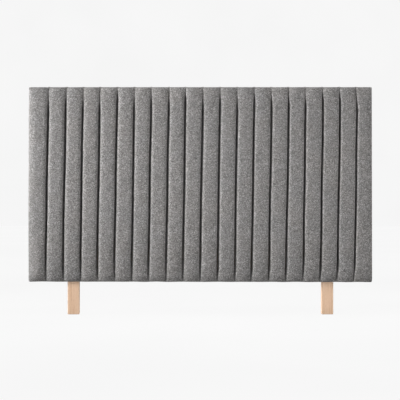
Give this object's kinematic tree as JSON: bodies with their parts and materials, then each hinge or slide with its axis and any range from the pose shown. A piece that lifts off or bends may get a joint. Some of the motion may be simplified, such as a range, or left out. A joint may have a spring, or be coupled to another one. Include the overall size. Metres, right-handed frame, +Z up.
{
  "type": "upholstered headboard",
  "caption": "Fabric-covered headboard with padded vertical channels over a timber frame, standing on flat wooden legs bolted to its back.",
  "frame": {"origin": "on the floor, in the middle of the headboard's width and of its whole depth", "axes": "+X to the right as seen from the bed, +Y from the bed towards the wall, +Z up; the padded channels face -Y"},
  "size_m": [1.65, 0.108, 1.1],
  "materials": {
    "cover_fabric": "mid-grey melange woven upholstery fabric",
    "foam": "cream polyurethane foam, cut surface",
    "plywood": "raw thin plywood",
    "pine": "planed softwood battens, unfinished",
    "lining_cloth": "black non-woven lining cloth",
    "leg_beech": "light beech, clear matt lacquer",
    "bolt_steel": "zinc-plated steel",
    "nut_steel": "zinc-plated pressed steel"
  },
  "bodies": {
    "root": {"cover": "cover_fabric", "foam_strip_01": "foam", "foam_strip_02": "foam", "foam_strip_03": "foam", "foam_strip_04": "foam", "foam_strip_05": "foam", "foam_strip_06": "foam", "foam_strip_07": "foam", "foam_strip_08": "foam", "foam_strip_09": "foam", "foam_strip_10": "foam", "foam_strip_11": "foam", "foam_strip_12": "foam", "foam_strip_13": "foam", "foam_strip_14": "foam", "foam_strip_15": "foam", "foam_strip_16": "foam", "foam_strip_17": "foam", "foam_strip_18": "foam", "foam_strip_19": "foam", "foam_strip_20": "foam", "front_board": "plywood", "frame_bottom_rail": "pine", "frame_top_rail": "pine", "frame_left_stile": "pine", "frame_left_upright": "pine", "frame_centre_upright": "pine", "frame_right_upright": "pine", "frame_right_stile": "pine", "back_lining": "lining_cloth", "leg_left": "leg_beech", "leg_right": "leg_beech", "leg_bolts_left": "bolt_steel", "leg_bolts_right": "bolt_steel", "tee_nuts_left": "nut_steel", "tee_nuts_right": "nut_steel"}
  },
  "joints": []
}
